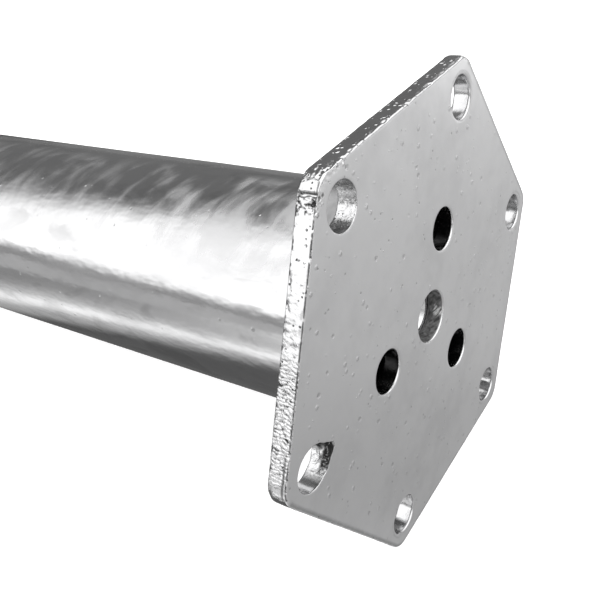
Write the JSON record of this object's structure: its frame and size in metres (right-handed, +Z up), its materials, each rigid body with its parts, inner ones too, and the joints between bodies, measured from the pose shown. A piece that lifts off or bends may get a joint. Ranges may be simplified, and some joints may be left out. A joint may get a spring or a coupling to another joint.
{
  "type": "screw pile",
  "caption": "Galvanised steel ground screw: a tube with a hexagonal head plate, a swaged point and a helical thread, lying on its side.",
  "frame": {"origin": "centre of the head plate's bearing face, on the tube's axis", "axes": "+X leaves the bearing face (the tube runs to -X), +Z is up as the pile lies on one flat of its plate and its thread; the tube's axis tips down towards the point by about 1.5 degrees"},
  "size_m": [0.8014, 0.1536, 0.1351],
  "materials": {
    "plate_zinc": "hot-dip galvanised, satin light grey, with small zinc bumps and pits",
    "tube_zinc": "hot-dip galvanised, glossy with cloudy grey blotches",
    "thread_zinc": "hot-dip galvanised, glossy, thicker zinc at the edges",
    "weld_zinc": "weld bead under zinc, rippled",
    "nut_zinc": "zinc over a cut thread, dull dark grey"
  },
  "bodies": {
    "root": {"head_plate": "plate_zinc", "pile_tube": "tube_zinc", "screw_thread": "thread_zinc", "head_weld": "weld_zinc", "nut_weld": "weld_zinc", "centre_nut": "nut_zinc"}
  },
  "joints": []
}
